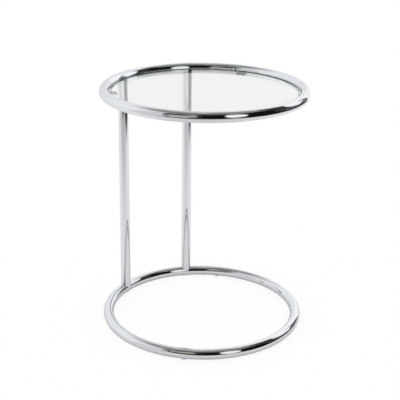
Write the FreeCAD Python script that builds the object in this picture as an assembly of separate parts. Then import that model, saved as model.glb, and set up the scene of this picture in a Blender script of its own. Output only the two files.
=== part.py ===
import FreeCAD, Part
import math
import os

# A round side table of chromed steel tube. A base ring lies on the floor, a top ring of the same size
# holds a glass disc, and two posts join the rings at the back, so that seen from the side it is a C.
# Millimetres, +Z up. The origin is on the floor, on the common axis of the rings. The posts are at +Y.

# The whole table
table_height = 530.0           # floor to the crown of the top ring
ring_outside = 440.0           # outside diameter of both rings
post_spacing = 170.0           # between the axes of the two posts

# The tube, the same for rings and posts
tube_diameter = 22.0
tube_wall = 1.5
cope_trim = 3.0                # the ears of a coped end are dressed flat this far off the ring's centre line
vent_diameter = 5.0            # drains the plating bath from the top ring into each post

# The glass and what carries it
glass_thickness = 5.0
glass_drop = 1.0               # top of the glass below the centre line of the top ring
glass_gap = 1.0                # glass to the narrowest part of the ring, all round
tab_count = 3
tab_width = 20.0
tab_thickness = 3.0
tab_reach = 17.0               # how far a tab stands into the ring
tab_corner = 5.0               # radius of its free corners
pad_diameter = 12.0
pad_thickness = 1.5            # between tab and glass
pad_inset = 9.0                # from the tab's free end to the middle of the pad
pad_stem_diameter = 5.0
pad_stem_clearance = 0.1
pad_barb_height = 1.5          # what stands out under the tab
pad_barb_width = 0.5           # how far it spreads past the stem

# The bolted joint at the foot of each post
screw_diameter = 8.0
screw_length = 30.0            # under the head
screw_tip = 1.0                # chamfer at the tip
head_diameter = 13.0
head_height = 5.0
socket_width = 5.0             # across the flats of the hexagon
socket_depth = 2.8
thread_clearance = 0.05        # screw to tapped hole
screw_hole_clearance = 0.25    # screw to the holes in washers and ring
washer_diameter = 13.0
washer_rim = 0.8               # thickness of the saddle washer at its thinnest
lock_washer_thickness = 2.0
lock_washer_slit = 1.5
plug_length = 25.0
plug_recess = 1.0              # plug held back from the crown of the ring, so that the cope takes the load
plug_clearance = 0.05
plug_chamfer = 1.0

# The caps under the screws
access_clearance = 0.5         # hole to the screw's head, all round
cap_flange = 1.5               # how far the cap laps over the edge of its hole
cap_thickness = 1.2
cap_stem_clearance = 0.1
cap_stem_wall = 1.6
cap_depth = 2.5                # how far the stem stands into the tube

# The glides
glide_stand = 2.5              # floor to the underside of the base ring
glide_angle = 45.0             # from the X axis to each of the four glides
glide_head_diameter = 11.0
glide_bevel = 0.8
glide_stem_diameter = 6.0
glide_stem_clearance = 0.1
glide_grip = 1.0               # from the bore of the tube to the barb
glide_barb_width = 0.7
glide_barb_height = 3.5
glide_tip_diameter = 4.5
glide_slit = 1.4

# Worked out from the above
tube_radius = tube_diameter / 2
bore_radius = tube_radius - tube_wall
ring_radius = ring_outside / 2 - tube_radius
base_centre = glide_stand + tube_radius
top_centre = table_height - tube_radius
post_angle = math.degrees(math.asin(post_spacing / 2 / ring_radius))
glass_top_height = top_centre - glass_drop
glass_underside = glass_top_height - glass_thickness
glass_radius = ring_radius - tube_radius - glass_gap
tab_top = glass_underside - pad_thickness
tab_underside = tab_top - tab_thickness
tab_end = ring_radius - tube_radius - tab_reach
washer_seat = base_centre + math.sqrt(bore_radius ** 2 - (washer_diameter / 2) ** 2) - washer_rim
screw_seat = washer_seat - lock_washer_thickness
access_diameter = head_diameter + 2 * access_clearance
washer_bore = screw_diameter + 2 * screw_hole_clearance

up = FreeCAD.Vector(0, 0, 1)
post_angles = {"left": 90 + post_angle, "right": 90 - post_angle}


def upright(diameter, low, high):
    """A round bar on the ring's centre line at +X, between two heights."""
    return Part.makeCylinder(diameter / 2, high - low, FreeCAD.Vector(ring_radius, 0, low), up)


def ring_bar(radius, centre):
    """A solid ring whose round section has this radius."""
    return Part.makeTorus(ring_radius, radius, FreeCAD.Vector(0, 0, centre), up)


def turned(shape, angle):
    """The shape made at +X, swung round the table's axis to its place."""
    shape.rotate(FreeCAD.Vector(0, 0, 0), up, angle)
    return shape


def revolved(profile, radius=0.0):
    """A closed outline of (radius, height) points, turned about the upright line at that distance along X."""
    points = [FreeCAD.Vector(radius + out, 0, height) for out, height in profile]
    face = Part.Face(Part.makePolygon(points + points[:1]))
    return face.revolve(FreeCAD.Vector(radius, 0, 0), up, 360)


def ring_tube(centre):
    """The rolled and butt-welded tube of one ring."""
    return ring_bar(tube_radius, centre).cut(ring_bar(bore_radius, centre))


def base_ring():
    """The ring on the floor, with its screw holes, access holes and glide holes."""
    ring = ring_tube(base_centre)
    for angle in post_angles.values():
        screw_hole = upright(washer_bore, base_centre, base_centre + tube_diameter)
        access_hole = upright(access_diameter, base_centre - tube_diameter, base_centre)
        ring = ring.cut(turned(screw_hole, angle)).cut(turned(access_hole, angle))
    for angle in glide_angles():
        hole_diameter = glide_stem_diameter + 2 * glide_stem_clearance
        ring = ring.cut(turned(upright(hole_diameter, base_centre - tube_diameter, base_centre), angle))
    return ring


def top_ring():
    """The ring round the glass, with a vent hole into each post."""
    ring = ring_tube(top_centre)
    for angle in post_angles.values():
        ring = ring.cut(turned(upright(vent_diameter, top_centre - tube_diameter, top_centre), angle))
    return ring


def post(angle):
    """A straight tube, coped at both ends to sit on one ring and under the other."""
    low = base_centre + cope_trim
    high = top_centre - cope_trim
    tube = upright(tube_diameter, low, high).cut(upright(2 * bore_radius, low, high))
    for centre in (base_centre, top_centre):
        tube = tube.cut(ring_bar(tube_radius, centre))
    return turned(tube, angle)


def post_plug(angle):
    """A steel plug pressed into the foot of a post, tapped for the screw."""
    low = base_centre + tube_radius + plug_recess
    high = low + plug_length
    outer = bore_radius - plug_clearance
    inner = screw_diameter / 2 + thread_clearance
    profile = [
        (inner, low),
        (outer - plug_chamfer, low),
        (outer, low + plug_chamfer),
        (outer, high - plug_chamfer),
        (outer - plug_chamfer, high),
        (inner, high),
    ]
    return turned(revolved(profile, ring_radius), angle)


def base_screw(angle):
    """A low-head socket screw that pulls the post down onto the base ring, driven from below."""
    shank = screw_diameter / 2
    tip = screw_seat + screw_length
    profile = [
        (0, screw_seat - head_height),
        (head_diameter / 2, screw_seat - head_height),
        (head_diameter / 2, screw_seat),
        (shank, screw_seat),
        (shank, tip - screw_tip),
        (shank - screw_tip, tip),
        (0, tip),
    ]
    corner = socket_width / math.sqrt(3)
    corners = []
    for step in range(7):
        turn = math.radians(60 * step)
        corners.append(FreeCAD.Vector(ring_radius + corner * math.cos(turn), corner * math.sin(turn),
                                      screw_seat - head_height))
    socket = Part.Face(Part.makePolygon(corners)).extrude(up * socket_depth)
    return turned(revolved(profile, ring_radius).cut(socket), angle)


def saddle_washer(angle):
    """A washer that is flat below for the screw and rounded above to the bore of the tube."""
    blank = upright(washer_diameter, washer_seat, base_centre + tube_radius)
    hole = upright(washer_bore, washer_seat, base_centre + tube_radius)
    return turned(blank.common(ring_bar(bore_radius, base_centre)).cut(hole), angle)


def lock_washer(angle):
    """A split spring washer, pressed flat."""
    washer = upright(washer_diameter, screw_seat, washer_seat).cut(upright(washer_bore, screw_seat, washer_seat))
    corner = FreeCAD.Vector(ring_radius, -lock_washer_slit / 2, screw_seat)
    slit = Part.makeBox(washer_diameter, lock_washer_slit, lock_washer_thickness, corner)
    return turned(washer.cut(slit), angle)


def access_cap(angle):
    """A plastic cap that closes the hole under a screw. Its flange follows the round of the tube."""
    lowest = base_centre - tube_radius - cap_thickness
    stem_top = base_centre - bore_radius + cap_depth
    stem_diameter = access_diameter - 2 * cap_stem_clearance
    skin = ring_bar(tube_radius + cap_thickness, base_centre)
    flange = upright(access_diameter + 2 * cap_flange, lowest, base_centre).common(skin)
    flange = flange.cut(ring_bar(tube_radius, base_centre))
    stem = upright(stem_diameter, lowest, stem_top).common(skin)
    hollow = upright(stem_diameter - 2 * cap_stem_wall, lowest, stem_top)
    hollow = hollow.common(ring_bar(tube_radius, base_centre))
    return turned(flange.fuse(stem).cut(hollow).removeSplitter(), angle)


def glide_angles():
    """Two glides at the back and two at the front."""
    return [glide_angle, 180 - glide_angle, 180 + glide_angle, 360 - glide_angle]


def glide(angle):
    """A plastic glide: a flat foot hollowed to the tube, and a split stem with a barb that snaps in."""
    foot_radius = glide_head_diameter / 2
    foot_profile = [
        (0, 0),
        (foot_radius - glide_bevel, 0),
        (foot_radius, glide_bevel),
        (foot_radius, base_centre),
        (0, base_centre),
    ]
    foot = revolved(foot_profile, ring_radius).cut(ring_bar(tube_radius, base_centre))
    stem_radius = glide_stem_diameter / 2
    barb_low = base_centre - bore_radius + glide_grip
    barb_high = barb_low + glide_barb_height
    stem_profile = [
        (0, glide_bevel),
        (stem_radius, glide_bevel),
        (stem_radius, barb_low),
        (stem_radius + glide_barb_width, barb_low),
        (glide_tip_diameter / 2, barb_high),
        (0, barb_high),
    ]
    slit_low = base_centre - tube_radius
    slit_corner = FreeCAD.Vector(ring_radius - glide_slit / 2, -tube_radius, slit_low)
    slit = Part.makeBox(glide_slit, tube_diameter, barb_high - slit_low, slit_corner)
    stem = revolved(stem_profile, ring_radius).cut(slit)
    return turned(foot.fuse(stem).removeSplitter(), angle)


def tab_angles():
    """The tabs are evenly spaced, one of them at the open front."""
    return [270 + 360 / tab_count * number for number in range(tab_count)]


def glass_tab(angle):
    """A flat steel tab with round corners, coped to the ring and welded inside it."""
    corner = FreeCAD.Vector(tab_end, -tab_width / 2, tab_underside)
    plate = Part.makeBox(ring_radius - tab_end, tab_width, tab_thickness, corner)
    free_corners = []
    for edge in plate.Edges:
        ends = [vertex.Point for vertex in edge.Vertexes]
        if abs(ends[0].x - tab_end) < 1e-6 and abs(ends[1].x - tab_end) < 1e-6 and ends[0].y == ends[1].y:
            free_corners.append(edge)
    plate = plate.makeFillet(tab_corner, free_corners)
    hole_radius = pad_stem_diameter / 2 + pad_stem_clearance
    hole_place = FreeCAD.Vector(tab_end + pad_inset, 0, tab_underside)
    hole = Part.makeCylinder(hole_radius, tab_thickness, hole_place, up)
    return turned(plate.cut(ring_bar(tube_radius, top_centre)).cut(hole), angle)


def glass_pad(angle):
    """A clear bumper with a stem pushed through the tab. The glass lies on its flat head."""
    stem_radius = pad_stem_diameter / 2
    profile = [
        (0, tab_underside - pad_barb_height),
        (stem_radius, tab_underside - pad_barb_height),
        (stem_radius + pad_barb_width, tab_underside),
        (stem_radius, tab_underside),
        (stem_radius, tab_top),
        (pad_diameter / 2, tab_top),
        (pad_diameter / 2, glass_underside),
        (0, glass_underside),
    ]
    return turned(revolved(profile, tab_end + pad_inset), angle)


def glass_top():
    """A tempered glass disc with a half-round ground edge. It lifts out of the ring."""
    edge_radius = glass_thickness / 2
    flat_radius = glass_radius - edge_radius
    under = FreeCAD.Vector(0, 0, glass_underside)
    over = FreeCAD.Vector(0, 0, glass_top_height)
    edge_low = FreeCAD.Vector(flat_radius, 0, glass_underside)
    edge_middle = FreeCAD.Vector(glass_radius, 0, glass_underside + edge_radius)
    edge_high = FreeCAD.Vector(flat_radius, 0, glass_top_height)
    outline = Part.Wire([
        Part.makeLine(under, edge_low),
        Part.Arc(edge_low, edge_middle, edge_high).toShape(),
        Part.makeLine(edge_high, over),
        Part.makeLine(over, under),
    ])
    return Part.Face(outline).revolve(FreeCAD.Vector(0, 0, 0), up, 360)


def table():
    """Every piece of the table under its own name."""
    pieces = {"base_ring": base_ring(), "top_ring": top_ring(), "glass_top": glass_top()}
    for side, angle in post_angles.items():
        pieces["post_" + side] = post(angle)
        pieces["post_plug_" + side] = post_plug(angle)
        pieces["base_screw_" + side] = base_screw(angle)
        pieces["saddle_washer_" + side] = saddle_washer(angle)
        pieces["lock_washer_" + side] = lock_washer(angle)
        pieces["access_cap_" + side] = access_cap(angle)
    for number, angle in enumerate(glide_angles(), 1):
        pieces["glide_" + str(number)] = glide(angle)
    for number, angle in enumerate(tab_angles(), 1):
        pieces["glass_tab_" + str(number)] = glass_tab(angle)
        pieces["glass_pad_" + str(number)] = glass_pad(angle)
    return pieces


os.makedirs("parts", exist_ok=True)
for name, shape in table().items():
    shape.exportStep("parts/" + name + ".step")
    box = shape.BoundBox
    print(name, len(shape.Solids), shape.isValid(), round(shape.Volume, 1),
          [round(value, 2) for value in (box.XMin, box.YMin, box.ZMin, box.XMax, box.YMax, box.ZMax)])
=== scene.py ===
import math

import bmesh
import bpy
import numpy as np
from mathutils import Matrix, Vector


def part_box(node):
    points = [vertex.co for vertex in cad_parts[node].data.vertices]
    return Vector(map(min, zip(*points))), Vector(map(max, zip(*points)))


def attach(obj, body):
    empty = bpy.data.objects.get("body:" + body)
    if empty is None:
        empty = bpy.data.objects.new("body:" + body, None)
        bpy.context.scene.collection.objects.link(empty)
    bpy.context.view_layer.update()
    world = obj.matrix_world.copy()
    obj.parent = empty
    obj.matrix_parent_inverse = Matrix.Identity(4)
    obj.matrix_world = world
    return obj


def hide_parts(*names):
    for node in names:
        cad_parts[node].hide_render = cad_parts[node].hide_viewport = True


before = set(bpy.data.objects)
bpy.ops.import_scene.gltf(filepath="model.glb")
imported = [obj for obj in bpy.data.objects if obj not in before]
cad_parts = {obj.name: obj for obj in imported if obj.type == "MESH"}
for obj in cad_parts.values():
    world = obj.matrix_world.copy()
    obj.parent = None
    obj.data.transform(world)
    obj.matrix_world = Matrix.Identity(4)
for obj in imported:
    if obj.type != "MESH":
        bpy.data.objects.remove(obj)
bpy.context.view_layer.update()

# ------------------------------------------------------------------------------------------------------
# The base ring. Steel tube rolled into a ring and butt welded behind, between the posts. The weld is
# ground flush, and the whole ring is polished and plated with bright nickel and chrome.
# ------------------------------------------------------------------------------------------------------
ring_low, ring_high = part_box("base_ring")
tube_radius = (ring_high.z - ring_low.z) / 2
ring_radius = ring_high.x - tube_radius
base_centre = (ring_high.z + ring_low.z) / 2
weld_turn = math.radians(90)     # where the rings' butt welds are
ring_steps = 640                 # round the table
tube_steps = 72                  # round the tube


def linear(code):
    """An sRGB hex colour as the linear RGBA that a shader socket takes."""
    parts = [int(code[start:start + 2], 16) / 255 for start in (1, 3, 5)]
    return [part / 12.92 if part <= 0.04045 else ((part + 0.055) / 1.055) ** 2.4 for part in parts] + [1.0]


def add_node(tree, kind, settings=None, **inputs):
    """A new node with its properties set. Each input, given by name or by number as _0 or _1, takes a value
    or another node's socket."""
    node = tree.nodes.new(kind)
    for name, value in (settings or {}).items():
        setattr(node, name, value)
    for name, value in inputs.items():
        socket = node.inputs[int(name[1:]) if name[1:].isdigit() else name.replace("_", " ")]
        if isinstance(value, bpy.types.NodeSocket):
            tree.links.new(value, socket)
        else:
            socket.default_value = value
    return node


def new_material(name):
    """An empty material and its node tree."""
    material = bpy.data.materials.new(name)
    material.use_nodes = True
    material.node_tree.nodes.clear()
    return material, material.node_tree


def skin(name, points, closed=(True, True), flipped=False, sharp=180.0):
    """A smooth object over a grid of points. Each way round, a closed grid joins its last line to its
    first. Edges that turn by more than sharp degrees stay crisp. The UV map is the place on the grid, from
    0 to 1."""
    rows, columns = points.shape[:2]
    row = np.arange(rows if closed[0] else rows - 1)[:, None]
    column = np.arange(columns if closed[1] else columns - 1)[None, :]
    corners = ((0, 0), (1, 0), (1, 1), (0, 1))
    faces = [(row + down) % rows * columns + (column + along) % columns for down, along in corners]
    faces = np.stack(faces, -1).reshape(-1, 4)
    places = [np.stack([(row + down) / rows + 0 * column, (column + along) / columns + 0 * row], -1)
              for down, along in corners]
    places = np.stack(places, 2).reshape(-1, 4, 2)
    if flipped:
        faces, places = faces[:, ::-1], places[:, ::-1]
    mesh = bpy.data.meshes.new(name)
    mesh.from_pydata(points.reshape(-1, 3).tolist(), [], faces.tolist())
    mesh.polygons.foreach_set("use_smooth", np.ones(len(faces), bool))
    mesh.uv_layers.new(name="skin").data.foreach_set("uv", places.reshape(-1).astype(np.float32))
    mesh.set_sharp_from_angle(angle=math.radians(sharp))
    piece = bpy.data.objects.new(name, mesh)
    bpy.context.scene.collection.objects.link(piece)
    return piece


def fit(piece, body, slot, material, *nodes):
    """Gives a piece its material, the body that carries it and the nodes it stands for. Its finish slot is
    not used.
    """
    piece.data.materials.append(material)
    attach(piece, body)
    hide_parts(*nodes)


def ring_points(centre):
    """One angle goes round the table and one round the tube's section, from its lowest line: the distance
    from the axis is the ring's radius and a share of the tube's by sine, and the height goes by cosine."""
    turn = weld_turn + np.linspace(0, 2 * np.pi, ring_steps, endpoint=False)[:, None]
    roll = np.linspace(0, 2 * np.pi, tube_steps, endpoint=False)[None, :]
    out = ring_radius + tube_radius * np.sin(roll)
    height = centre - tube_radius * np.cos(roll) + 0 * turn
    return np.stack([out * np.cos(turn), out * np.sin(turn), height], -1)


def chrome_plate(name, length):
    """Bright chrome on polished steel of a given length and about the tube's girth: a cool mirror. The plate
    follows what the belt and the mop left in the steel, fine lines along it and a slight waviness."""
    line_gap = 0.0012            # real lines are finer than 0.1 mm, and are drawn coarser so that they show
    line_length = 0.15
    line_depth = 0.00004
    wave_length = 0.03
    wave_depth = 0.0004
    relief = 0.12                # the share of those depths that shows
    girth = 2 * math.pi * tube_radius
    material, tree = new_material(name)
    place = add_node(tree, "ShaderNodeUVMap", {"uv_map": "skin"})
    lines = add_node(tree, "ShaderNodeMapping", Vector=place.outputs[0],
                     Scale=(length / line_length, girth / line_gap, 1))
    polish = add_node(tree, "ShaderNodeTexNoise", Vector=lines.outputs[0], Scale=1.0, Detail=4.0)
    body = add_node(tree, "ShaderNodeTexCoord")
    waves = add_node(tree, "ShaderNodeTexNoise", Vector=body.outputs["Object"], Scale=1 / wave_length,
                     Detail=1.0)
    grain = add_node(tree, "ShaderNodeBump", Height=polish.outputs["Fac"], Strength=relief,
                     Distance=line_depth)
    swell = add_node(tree, "ShaderNodeBump", Height=waves.outputs["Fac"], Strength=relief,
                     Distance=wave_depth, Normal=grain.outputs[0])
    rough = add_node(tree, "ShaderNodeMapRange", Value=polish.outputs["Fac"], From_Min=0.3, From_Max=0.7,
                     To_Min=0.015, To_Max=0.045)
    shader = add_node(tree, "ShaderNodeBsdfPrincipled", Metallic=1.0, Base_Color=linear("#E9EBEE"),
                      Specular_Tint=linear("#F0F0F0"), Roughness=rough.outputs[0], Normal=swell.outputs[0])
    add_node(tree, "ShaderNodeOutputMaterial", Surface=shader.outputs[0])
    return material


ring_chrome = chrome_plate("bright_chrome_plated_ring_tube", 2 * math.pi * ring_radius)
fit(skin("base_ring_tube", ring_points(base_centre)), "frame", "chromed_tube", ring_chrome, "base_ring")

# ------------------------------------------------------------------------------------------------------
# The top ring. The same tube and bend as the base ring, so that one stands exactly over the other.
# ------------------------------------------------------------------------------------------------------
top_low, top_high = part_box("top_ring")
top_centre = (top_high.z + top_low.z) / 2
fit(skin("top_ring_tube", ring_points(top_centre)), "frame", "chromed_tube", ring_chrome, "top_ring")

# ------------------------------------------------------------------------------------------------------
# The two posts. Straight lengths of the same tube, coped at each end, which is to say ground hollow to
# the round of a ring. They are welded under the top ring and screwed down on the base ring.
# ------------------------------------------------------------------------------------------------------
tube_wall = 0.0015
cope_trim = 0.003                # the ears of a coped end stop this far off the ring's centre line
edge_break = 0.0003              # the sharp outer edge of a coped end is rubbed down by this much
post_steps = 96                  # round the post
post_rows = 140                  # up the post


def post_points(place_x, place_y):
    """Rows up the outside, in over the top end, down the bore and out under the foot. An end stands off the
    ring's centre line by the root of the tube's radius squared less the point's offset from it squared."""
    turn = np.linspace(0, 2 * np.pi, post_steps, endpoint=False)[None, :]
    bore = tube_radius - tube_wall
    rubbed = tube_radius - edge_break
    radius = np.array([rubbed] + [tube_radius] * post_rows + [rubbed, bore, bore])[:, None]
    share = np.concatenate([[0], np.linspace(0, 1, post_rows), [1, 1, 0]])[:, None]
    held_back = np.zeros(len(radius))
    held_back[[1, post_rows]] = edge_break       # the outside's end rows, which start past the rubbed edge
    x, y = place_x + radius * np.cos(turn), place_y + radius * np.sin(turn)
    offset = np.hypot(x, y) - ring_radius
    stop = np.maximum(np.sqrt(np.maximum(tube_radius ** 2 - offset ** 2, 0)), cope_trim) + held_back[:, None]
    low, high = base_centre + stop, top_centre - stop
    return np.stack([x, y, low + (high - low) * share], -1)


post_chrome = chrome_plate("bright_chrome_plated_post_tube", top_centre - base_centre)
for side in ("left", "right"):
    low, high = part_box("post_" + side)
    place = (low + high) / 2
    post = skin("post_tube_" + side, post_points(place.x, place.y), flipped=True, sharp=30)
    fit(post, "frame", "chromed_tube", post_chrome, "post_" + side)

# ------------------------------------------------------------------------------------------------------
# The glass disc. Clear float glass, cut round, its edge ground half round and polished, then tempered.
# It lies loose on three pads and lifts straight out of the top ring.
# ------------------------------------------------------------------------------------------------------
glass_low, glass_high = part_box("glass_top")
edge_radius = (glass_high.z - glass_low.z) / 2
flat_radius = glass_high.x - edge_radius
glass_steps = 384                # round the disc
edge_steps = 17                  # over the half-round edge
pole_gap = 1e-7                  # points nearer than this are one


def turned_points(profile, centre, steps):
    """A profile of (radius, height) rows carried round the upright line through a place on the floor."""
    turn = np.linspace(0, 2 * np.pi, steps, endpoint=False)[None, :]
    radius, height = np.array(profile, float).T[:, :, None]
    x, y = centre[0] + radius * np.cos(turn), centre[1] + radius * np.sin(turn)
    return np.stack([x, y, height + 0 * turn], -1)


def weld_poles(piece):
    """Joins the points that lie together where a turned shape meets its axis."""
    work = bmesh.new()
    work.from_mesh(piece.data)
    bmesh.ops.remove_doubles(work, verts=work.verts, dist=pole_gap)
    work.to_mesh(piece.data)
    work.free()


def glass_profile():
    """From the middle of the underside over the edge to the middle of the top. On the edge, the distance out
    and the height follow a half circle."""
    bend = np.linspace(-np.pi / 2, np.pi / 2, edge_steps)
    middle = (glass_low.z + glass_high.z) / 2
    edge = np.stack([flat_radius + edge_radius * np.cos(bend), middle + edge_radius * np.sin(bend)], -1)
    return np.concatenate([[[0, glass_low.z]], edge, [[0, glass_high.z]]])


def float_glass():
    """Tempered float glass: fire-polished faces, clear, with a trace of the green that iron gives."""
    material, tree = new_material("clear_float_glass_tempered")
    shader = add_node(tree, "ShaderNodeBsdfPrincipled", Base_Color=linear("#F1F2F0"), Roughness=0.0,
                      IOR=1.5, Transmission_Weight=1.0)
    add_node(tree, "ShaderNodeOutputMaterial", Surface=shader.outputs[0])
    return material


def ground_edge():
    """The ground and polished edge: light that has gone far through the disc comes out of it, so it looks
    sea green. Half of that is given as its own colour, and half comes through."""
    material, tree = new_material("float_glass_ground_edge")
    shader = add_node(tree, "ShaderNodeBsdfPrincipled", Base_Color=linear("#4F726D"), Roughness=0.06,
                      IOR=1.5, Transmission_Weight=0.5)
    add_node(tree, "ShaderNodeOutputMaterial", Surface=shader.outputs[0])
    return material


glass_points = turned_points(glass_profile(), (0, 0), glass_steps)
glass = skin("glass_disc", glass_points, closed=(False, True), flipped=True)
weld_poles(glass)
fit(glass, "glass", "clear_glass", float_glass(), "glass_top")
glass.data.materials.append(ground_edge())
# The faces outside the flat part are the ground edge, and only they are shaded smooth.
centres = np.zeros(len(glass.data.polygons) * 3)
glass.data.polygons.foreach_get("center", centres)
on_edge = np.hypot(centres[0::3], centres[1::3]) > flat_radius
glass.data.polygons.foreach_set("material_index", on_edge.astype(int))
glass.data.polygons.foreach_set("use_smooth", on_edge)

# ------------------------------------------------------------------------------------------------------
# The tabs that carry the glass. Three pieces of steel strip, coped to the ring, welded inside it and
# plated with it. Their free corners are round, and all edges are rubbed down.
# ------------------------------------------------------------------------------------------------------
tab_low, tab_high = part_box("glass_tab_1")
tab_end = -tab_high.y            # from the table's axis to a tab's free end
tab_side = tab_high.x            # half a tab's width
tab_corner = 0.005               # the radius of a free corner
tab_edge_break = 0.0004          # how far its edges are rubbed down
pad_low, pad_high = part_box("glass_pad_1")
pad_place = -(pad_low.y + pad_high.y) / 2        # from the table's axis to a pad's middle
pad_hole = 0.0026                # the radius of the hole that takes a pad's stem
corner_steps = 9                 # round a free corner
coped_steps = 11                 # across the coped end
carriers = 3                     # evenly round the ring, the first one opposite the posts
carrier_turns = [math.radians(270 + 360 / carriers * number) for number in range(carriers)]


def tab_outline(inset, height):
    """Round the tab: a quarter circle, the coped end, a quarter circle. The coped end lies as far from the
    table's axis as the ring's skin does at that height."""
    bend = np.linspace(0, np.pi / 2, corner_steps)
    arc = tab_corner - inset
    across = np.linspace(inset - tab_side, tab_side - inset, coped_steps)
    ring_skin = ring_radius - math.sqrt(tube_radius ** 2 - (height - top_centre) ** 2)
    out = np.concatenate([tab_end + tab_corner - arc * np.cos(bend), np.sqrt(ring_skin ** 2 - across ** 2),
                          tab_end + tab_corner - arc * np.sin(bend)])
    side = np.concatenate([tab_corner - tab_side - arc * np.sin(bend), across,
                           tab_side - tab_corner + arc * np.cos(bend)])
    return out, side


def tab_points(turn):
    """Rows from the hole's lower rim out over the underside, up the side and back over the top to the hole's
    upper rim. A point of the hole lies on the line from its middle to the outline's point."""
    rows = []
    for inset, height in ((tab_edge_break, tab_low.z), (0, tab_low.z + tab_edge_break),
                          (0, tab_high.z - tab_edge_break), (tab_edge_break, tab_high.z)):
        out, side = tab_outline(inset, height)
        rows.append(np.stack([out, side, height + 0 * out], -1))
    away = rows[0][:, :2] - (pad_place, 0)
    rim = (pad_place, 0) + pad_hole * away / np.linalg.norm(away, axis=1)[:, None]
    lower, upper = (np.column_stack([rim, 0 * out + height]) for height in (tab_low.z, tab_high.z))
    rows = [lower] + rows + [upper]
    out, side, height = np.moveaxis(np.stack(rows), -1, 0)
    return np.stack([out * math.cos(turn) - side * math.sin(turn),
                     out * math.sin(turn) + side * math.cos(turn), height], -1)


tab_chrome = chrome_plate("bright_chrome_plated_tab", 2 * tab_side)
for number, turn in enumerate(carrier_turns, 1):
    tab = skin("glass_tab_plate_" + str(number), tab_points(turn), flipped=True, sharp=30)
    fit(tab, "frame", "chromed_tube", tab_chrome, "glass_tab_" + str(number))

# ------------------------------------------------------------------------------------------------------
# The pads between tabs and glass. Clear soft bumpers, moulded in one piece with a stem that is pushed
# through the tab until its barb snaps out below.
# ------------------------------------------------------------------------------------------------------
pad_radius = pad_high.x
pad_stem = 0.0025                # the stem's radius
pad_barb = 0.0005                # how far the barb stands out past the stem
pad_round = 0.0004               # on the edges of the head
pad_give = 0.00002               # how far the glass has pressed the head down
pad_steps = 40                   # round the pad


def pad_profile():
    """Up from under the barb, out to the head, round its two edges and in over its top."""
    under, over = tab_high.z, pad_high.z - pad_give
    return [(0, pad_low.z), (pad_stem, pad_low.z), (pad_stem + pad_barb, tab_low.z), (pad_stem, tab_low.z),
            (pad_stem, under), (pad_radius - pad_round, under), (pad_radius, under + pad_round),
            (pad_radius, over - pad_round), (pad_radius - pad_round, over), (0, over)]


def clear_silicone():
    """Clear silicone rubber, moulded: milky and only partly see-through, with a soft and hazy shine."""
    haze_size = 0.0011
    material, tree = new_material("clear_silicone_rubber_moulded")
    body = add_node(tree, "ShaderNodeTexCoord")
    haze = add_node(tree, "ShaderNodeTexNoise", Vector=body.outputs["Object"], Scale=1 / haze_size,
                    Detail=2.0)
    rough = add_node(tree, "ShaderNodeMapRange", Value=haze.outputs["Fac"], To_Min=0.18, To_Max=0.34)
    shader = add_node(tree, "ShaderNodeBsdfPrincipled", Base_Color=linear("#EEF1F1"), IOR=1.41,
                      Transmission_Weight=0.35, Roughness=rough.outputs[0])
    add_node(tree, "ShaderNodeOutputMaterial", Surface=shader.outputs[0])
    return material


silicone = clear_silicone()
for number, turn in enumerate(carrier_turns, 1):
    place = (pad_place * math.cos(turn), pad_place * math.sin(turn))
    pad = skin("glass_bumper_" + str(number), turned_points(pad_profile(), place, pad_steps),
               closed=(False, True), flipped=True, sharp=50)
    weld_poles(pad)
    fit(pad, "frame", "clear_plastic", silicone, "glass_pad_" + str(number))

# ------------------------------------------------------------------------------------------------------
# The glides and the access caps. Moulded in natural polyethylene, which is a milky white. The glides snap
# into holes under the base ring, and the caps close the holes through which the screws are driven.
# ------------------------------------------------------------------------------------------------------


def natural_polyethylene():
    """Natural polyethylene, moulded: milky, light goes a little way in, and the mould's fine spark-eroded
    texture leaves the shine broken. The texture is drawn at 0.4 mm, coarser than it is, so that it shows."""
    texture_size = 0.0004
    texture_depth = 0.00003
    material, tree = new_material("natural_polyethylene_moulded")
    body = add_node(tree, "ShaderNodeTexCoord")
    erosion = add_node(tree, "ShaderNodeTexNoise", Vector=body.outputs["Object"], Scale=1 / texture_size,
                       Detail=2.0)
    bump = add_node(tree, "ShaderNodeBump", Height=erosion.outputs["Fac"], Strength=0.2,
                    Distance=texture_depth)
    rough = add_node(tree, "ShaderNodeMapRange", Value=erosion.outputs["Fac"], To_Min=0.35, To_Max=0.55)
    shader = add_node(tree, "ShaderNodeBsdfPrincipled", Base_Color=linear("#ECEDEA"), IOR=1.51,
                      Subsurface_Weight=0.3, Subsurface_Scale=0.002, Subsurface_Radius=(1, 1, 1),
                      Roughness=rough.outputs[0], Normal=bump.outputs[0])
    add_node(tree, "ShaderNodeOutputMaterial", Surface=shader.outputs[0])
    return material


def dress(material, *nodes):
    """Gives nodes that are shown as they are a material of their own."""
    for name in nodes:
        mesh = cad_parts[name].data
        mesh.materials.clear()
        mesh.materials.append(material)


dress(natural_polyethylene(), "glide_1", "glide_2", "glide_3", "glide_4", "access_cap_left",
      "access_cap_right")

# ------------------------------------------------------------------------------------------------------
# The bolted joint inside the base ring. Turned and pressed steel with bright zinc plate: a tapped plug in
# the foot of each post, a low-head socket screw, a split washer and a washer rounded to the tube's bore.
# ------------------------------------------------------------------------------------------------------


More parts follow.
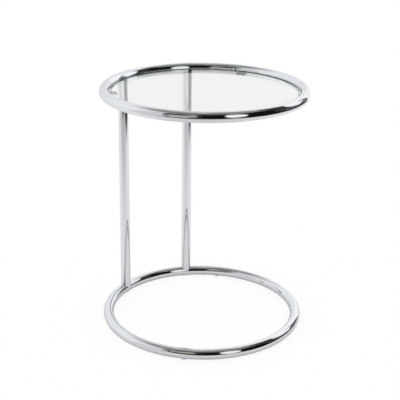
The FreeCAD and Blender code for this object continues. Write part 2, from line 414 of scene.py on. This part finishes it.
def zinc_plate():
    """Bright zinc plate on steel, passivated: a grey metal with a faint blue and a soft, cloudy shine."""
    cloud_size = 0.0025
    material, tree = new_material("bright_zinc_plated_steel_passivated")
    body = add_node(tree, "ShaderNodeTexCoord")
    cloud = add_node(tree, "ShaderNodeTexNoise", Vector=body.outputs["Object"], Scale=1 / cloud_size,
                     Detail=3.0)
    tone = add_node(tree, "ShaderNodeMix", {"data_type": "RGBA"}, _0=cloud.outputs["Fac"],
                    _6=linear("#B9BEC4"), _7=linear("#CCD0D2"))
    rough = add_node(tree, "ShaderNodeMapRange", Value=cloud.outputs["Fac"], To_Min=0.22, To_Max=0.42)
    shader = add_node(tree, "ShaderNodeBsdfPrincipled", Metallic=1.0, Base_Color=tone.outputs[2],
                      Roughness=rough.outputs[0])
    add_node(tree, "ShaderNodeOutputMaterial", Surface=shader.outputs[0])
    return material


fasteners = [kind + side for side in ("left", "right")
             for kind in ("post_plug_", "base_screw_", "lock_washer_", "saddle_washer_")]
dress(zinc_plate(), *fasteners)

# ------------------------------------------------------------------------------------------------------
# The view: about as high as a standing person's elbow, looking down at the table's open side from the left.
# ------------------------------------------------------------------------------------------------------
view_turn = math.radians(35.19)      # round the table from -Y towards -X
view_distance = 2.024                # from the table's axis, along the floor
view_height = 1.029                  # above the floor
view_angles = (69.56, -0.69, -34.73)     # degrees about X, Y and Z
lens_length = 89.75                  # millimetres
picture_width = 36                   # millimetres, behind the lens

camera_data = bpy.data.cameras.new("camera")
camera_data.sensor_width = picture_width
camera_data.lens = lens_length
camera = bpy.data.objects.new("camera", camera_data)
bpy.context.scene.collection.objects.link(camera)
bpy.context.scene.camera = camera
camera.location = (-view_distance * math.sin(view_turn), -view_distance * math.cos(view_turn), view_height)
camera.rotation_euler = [math.radians(angle) for angle in view_angles]

# ------------------------------------------------------------------------------------------------------
# The floor: a sheet of white paper, larger than the picture. The eye and glass see it as white, a little
# darker where the table keeps light from it. Mirrors see it with painted shade in front of the table, and
# the dark room where it ends.
# ------------------------------------------------------------------------------------------------------
floor_reach = 6.0                    # from the table's axis to each side of the sheet
paper_white = 0.92                   # its share of light given back
shadow_share = 0.10                  # how much of its brightness, to the eye, depends on the light on it
# Where the paper's colour, as mirrors see it, changes: which way that is (degrees round from the view's
# right), how far from the table's axis, how gradual it is (metres to each side), what share of the light it
# takes or, below 0, gives back, and whether mirrors behind glass show it too. Painted shade makes the paper
# a little dim in front of the table and ends farther out, and the paper ends on the right and in front.
# Behind the glass that front end would make the posts dark, so there it grows bright again instead.
painted_shade_and_paper_ends = ((270, 0.60, 0.85, 0.42, True), (270, 1.42, 0.12, -0.70, True), (346, 1.12, 0.22, 0.98, True),
              (270, 1.42, 0.12, 0.95, False))


def mirror_share(tree):
    """1 for what a mirror shows, and otherwise 0. What shows through clear glass counts as glossy too, so a
    ray must also have been thrown back at least once."""
    path = add_node(tree, "ShaderNodeLightPath")
    mirror = add_node(tree, "ShaderNodeMath", {"operation": "MULTIPLY", "use_clamp": True},
                      _0=path.outputs["Is Glossy Ray"], _1=path.outputs["Glossy Depth"])
    return mirror.outputs[0]


def white_paper():
    """White studio paper: matt and even, with a fine tooth. The eye and glass see it mostly by a light of
    its own. Mirrors see what light falls on it, times the share of its colour that each change leaves:
    painted shade in front of the table, and dark where the paper ends."""
    tooth_size = 0.0006
    tooth_depth = 0.00002
    material, tree = new_material("white_studio_paper")
    path = add_node(tree, "ShaderNodeLightPath")
    seen = add_node(tree, "ShaderNodeMath", {"operation": "ADD"}, _0=path.outputs["Is Camera Ray"],
                    _1=path.outputs["Is Transmission Ray"])
    lit = add_node(tree, "ShaderNodeMix", {"data_type": "FLOAT"}, _0=seen.outputs[0], _2=paper_white,
                   _3=shadow_share)
    glow = add_node(tree, "ShaderNodeMath", {"operation": "MULTIPLY"}, _0=seen.outputs[0],
                    _1=1 - shadow_share)
    body = add_node(tree, "ShaderNodeTexCoord")
    tooth = add_node(tree, "ShaderNodeTexNoise", Vector=body.outputs["Object"], Scale=1 / tooth_size)
    grain = add_node(tree, "ShaderNodeBump", Height=tooth.outputs["Fac"], Strength=0.1, Distance=tooth_depth)
    no_glass = add_node(tree, "ShaderNodeMath", {"operation": "SUBTRACT", "use_clamp": True}, _0=1.0,
                        _1=path.outputs["Transmission Depth"])
    light_left = 1.0
    # Each change paints shade into the paper's colour, lifts it again, or darkens it where the paper ends.
    for facing, distance, blur, taken, behind_glass in painted_shade_and_paper_ends:
        least = add_node(tree, "ShaderNodeMath", {"operation": "MULTIPLY_ADD"}, _1=-taken, _2=1.0,
                         _0=1.0 if behind_glass else no_glass.outputs[0])
        turned = add_node(tree, "ShaderNodeVectorRotate", {"rotation_type": "Z_AXIS"},
                          Vector=body.outputs["Object"], Angle=view_turn - math.radians(facing))
        reach = add_node(tree, "ShaderNodeSeparateXYZ", Vector=turned.outputs[0])
        kept = add_node(tree, "ShaderNodeMapRange", {"interpolation_type": "SMOOTHSTEP"},
                        Value=reach.outputs[0], From_Min=distance - blur, From_Max=distance + blur,
                        To_Min=1.0, To_Max=least.outputs[0])
        light_left = add_node(tree, "ShaderNodeMath", {"operation": "MULTIPLY"}, _0=kept.outputs[0],
                              _1=light_left).outputs[0]
    # Mirrors see the paper with this painted shade and its dark ends, and every other ray sees plain paper.
    mirror_shade_and_ends = add_node(tree, "ShaderNodeMix", {"data_type": "FLOAT"}, _0=mirror_share(tree), _2=1.0,
                    _3=light_left)
    white = add_node(tree, "ShaderNodeMath", {"operation": "MULTIPLY"}, _0=lit.outputs[0],
                     _1=mirror_shade_and_ends.outputs[0])
    matt = add_node(tree, "ShaderNodeBsdfDiffuse", Color=white.outputs[0], Normal=grain.outputs[0])
    light = add_node(tree, "ShaderNodeEmission", Strength=glow.outputs[0])
    paper = add_node(tree, "ShaderNodeAddShader", _0=matt.outputs[0], _1=light.outputs[0])
    add_node(tree, "ShaderNodeOutputMaterial", Surface=paper.outputs[0])
    return material


floor_corners = [[[x, y, 0.0] for y in (-floor_reach, floor_reach)] for x in (-floor_reach, floor_reach)]
floor = skin("floor", np.array(floor_corners), closed=(False, False))
floor.data.materials.append(white_paper())

# ------------------------------------------------------------------------------------------------------
# The studio: even white light all round for everything matt. Mirrors see the room itself: pale walls, a
# grey ceiling and a dark side behind the camera. All of it is far off, and looks alike from both rings.
# ------------------------------------------------------------------------------------------------------
room_light = 1.1                     # how bright white is in the room
wall_colour = "#ECEDEF"
ceiling_colour = "#8A8A88"
ceiling_starts, ceiling_ends = 42, 64    # degrees up
# Each panel: where it is (degrees round from the view's right, and up), half its width and half its height
# in degrees, how square it is, the share of its size over which its edge fades, how far it curves aside
# (degrees at a radian up, and growing as the square), and its colour.
panels = [
    (238, 67.5, 56, 11.5, 2.7, 0.05, 16, "#555452"),   # the ceiling's dark side
    (215.5, 17, 18.5, 42.5, 1.8, 0.09, 7, "#CBCCCE"),  # the left wall turning away
    (309.5, -4, 53, 60, 10, 0.12, 4.5, "#121211"),     # the dark side
    (249, 29, 22, 25, 2.2, 0.10, -21.5, "#4E4940"),    # the brown curtain beside the door
    (97, 62, 17, 26, 2.3, 0.06, 0, "#C2C2C1"),         # the ceiling over the window
]


def cover(tree, aside, above, half_width, half_height, squareness, edge):
    """How far a panel hides what is behind it. A place is on the panel where its two offsets, each as a
    share of half the panel's size and raised to the squareness, add up to less than 1."""
    shares = []
    for offset, half in ((aside, half_width), (above, half_height)):
        size = add_node(tree, "ShaderNodeMath", {"operation": "ABSOLUTE"}, _0=offset)
        share = add_node(tree, "ShaderNodeMath", {"operation": "DIVIDE"}, _0=size.outputs[0], _1=half)
        shares.append(add_node(tree, "ShaderNodeMath", {"operation": "POWER"}, _0=share.outputs[0],
                               _1=squareness))
    both = add_node(tree, "ShaderNodeMath", {"operation": "ADD"}, _0=shares[0].outputs[0],
                    _1=shares[1].outputs[0])
    return add_node(tree, "ShaderNodeMapRange", {"interpolation_type": "SMOOTHSTEP"}, Value=both.outputs[0],
                    From_Min=(1 - edge) ** squareness, From_Max=(1 + edge) ** squareness,
                    To_Min=1.0, To_Max=0.0).outputs[0]


def studio():
    """The room by direction: a wall and a ceiling by height, and the panels laid over them in turn."""
    world = bpy.data.worlds.new("studio")
    world.use_nodes = True
    tree = world.node_tree
    tree.nodes.clear()
    direction = add_node(tree, "ShaderNodeTexCoord").outputs["Generated"]
    height = add_node(tree, "ShaderNodeSeparateXYZ", Vector=direction).outputs["Z"]
    rise = add_node(tree, "ShaderNodeMath", {"operation": "ARCSINE"}, _0=height).outputs[0]
    bend = add_node(tree, "ShaderNodeMapRange", {"interpolation_type": "SMOOTHSTEP"}, Value=rise,
                    From_Min=math.radians(ceiling_starts), From_Max=math.radians(ceiling_ends))
    seen = add_node(tree, "ShaderNodeMix", {"data_type": "RGBA"}, _0=bend.outputs[0],
                    _6=linear(wall_colour), _7=linear(ceiling_colour)).outputs[2]
    square = add_node(tree, "ShaderNodeMath", {"operation": "MULTIPLY"}, _0=rise, _1=rise).outputs[0]
    for turn, middle, half_width, half_height, squareness, edge, curve, colour in panels:
        turned = add_node(tree, "ShaderNodeVectorRotate", {"rotation_type": "Z_AXIS"}, Vector=direction,
                          Angle=view_turn - math.radians(turn))
        part = add_node(tree, "ShaderNodeSeparateXYZ", Vector=turned.outputs[0])
        aside = add_node(tree, "ShaderNodeMath", {"operation": "ARCTAN2"}, _0=part.outputs["Y"],
                         _1=part.outputs["X"])
        curved = add_node(tree, "ShaderNodeMath", {"operation": "MULTIPLY_ADD"}, _0=square,
                          _1=-math.radians(curve), _2=aside.outputs[0])
        above = add_node(tree, "ShaderNodeMath", {"operation": "SUBTRACT"}, _0=rise, _1=math.radians(middle))
        covered = cover(tree, curved.outputs[0], above.outputs[0], math.radians(half_width),
                        math.radians(half_height), squareness, edge)
        seen = add_node(tree, "ShaderNodeMix", {"data_type": "RGBA"}, _0=covered, _6=seen,
                        _7=linear(colour)).outputs[2]
    room = add_node(tree, "ShaderNodeBackground", Color=seen, Strength=room_light)
    plain = add_node(tree, "ShaderNodeBackground", Color=(1, 1, 1, 1))
    mix = add_node(tree, "ShaderNodeMixShader", _0=mirror_share(tree), _1=plain.outputs[0],
                   _2=room.outputs[0])
    add_node(tree, "ShaderNodeOutputWorld", Surface=mix.outputs[0])
    return world


bpy.context.scene.world = studio()
bpy.context.scene.view_settings.view_transform = "Standard"

# ------------------------------------------------------------------------------------------------------
# What stands in the room near the table, as upright boards that only mirrors see: a wall, a lamp, a door,
# two windows, a blind and the dark things about them. One ring shows them shifted from the other.
# ------------------------------------------------------------------------------------------------------
# Each board: its name, which way it lies (degrees round from the view's right), its distance from the
# table's axis, the height of its middle, half its width and half its height, how square it is, the share
# of its size over which its edge fades, how far it leans for each metre up, and its colour.
boards = [
    ("left_wall", 215.5, 2.40, 0.92, 0.76, 0.98, 11, 0.07, 0.21, "#D3D3D4"),
    ("lamp", 304, 2.60, 1.82, 0.56, 1.47, 2.2, 0.12, 0.07, "#F7F6F4"),
    ("dark_shelf", 18, 2.10, 2.48, 0.74, 1.80, 7.3, 0.11, 0.34, "#383836"),
    ("small_window", 27.5, 2.00, 1.52, 0.56, 0.75, 1.9, 0.12, 0.27, "#FFFFFF"),
    ("dark_chair", 23.5, 1.95, 0.11, 0.81, 0.47, 7.3, 0.10, -1.17, "#464648"),
    ("window_arch", 59.5, 1.90, 0.69, 1.24, 1.03, 1.7, 0.12, -0.09, "#7A7C7E"),
    ("window", 64.5, 1.85, 0.71, 0.99, 1.31, 1.73, 0.12, -0.10, "#FFFFFF"),
    ("door_frame", 229.5, 1.80, 1.05, 0.037, 0.56, 5, 0.09, 0, "#2D2B28"),
    ("door", 249, 1.20, 0.86, 0.30, 0.20, 8, 0.05, 0, "#BDBAB0"),
    ("door_surround", 249, 1.23, 0.88, 0.36, 0.30, 8, 0.05, 0, "#2E2B28"),
    ("white_blind", 90, 1.80, 0.98, 0.45, 0.16, 6, 0.10, 0, "#ECEDEF"),
]


def lit_board(name, turn, middle, half_width, half_height, squareness, edge, lean, colour):
    """A board's light, on the places that it covers, for mirrors alone."""
    material, tree = new_material(name + "_light")
    body = add_node(tree, "ShaderNodeTexCoord")
    turned = add_node(tree, "ShaderNodeVectorRotate", {"rotation_type": "Z_AXIS"},
                      Vector=body.outputs["Object"], Angle=view_turn - math.radians(turn))
    part = add_node(tree, "ShaderNodeSeparateXYZ", Vector=turned.outputs[0])
    above = add_node(tree, "ShaderNodeMath", {"operation": "SUBTRACT"}, _0=part.outputs["Z"], _1=middle)
    aside = add_node(tree, "ShaderNodeMath", {"operation": "MULTIPLY_ADD"}, _0=above.outputs[0], _1=-lean,
                     _2=part.outputs["Y"])
    covered = cover(tree, aside.outputs[0], above.outputs[0], half_width, half_height, squareness, edge)
    shown = add_node(tree, "ShaderNodeMath", {"operation": "MULTIPLY"}, _0=covered, _1=mirror_share(tree))
    clear = add_node(tree, "ShaderNodeBsdfTransparent")
    light = add_node(tree, "ShaderNodeEmission", Color=linear(colour), Strength=room_light)
    mix = add_node(tree, "ShaderNodeMixShader", _0=shown.outputs[0], _1=clear.outputs[0],
                   _2=light.outputs[0])
    add_node(tree, "ShaderNodeOutputMaterial", Surface=mix.outputs[0])
    return material


# A board faces the table's axis. It is as large as its shape with the faded edge, and stops at the floor.
for name, turn, distance, middle, half_width, half_height, squareness, edge, lean, colour in boards:
    angle = math.radians(turn) - view_turn
    reach = (1 + edge) * (half_width + abs(lean) * half_height)
    low, high = max(middle - (1 + edge) * half_height, 0), middle + (1 + edge) * half_height
    corners = [[[distance * math.cos(angle) - side * math.sin(angle),
                 distance * math.sin(angle) + side * math.cos(angle), height] for height in (low, high)]
               for side in (-reach, reach)]
    board = skin(name, np.array(corners), closed=(False, False))
    board.data.materials.append(lit_board(name, turn, middle, half_width, half_height, squareness, edge,
                                          lean, colour))
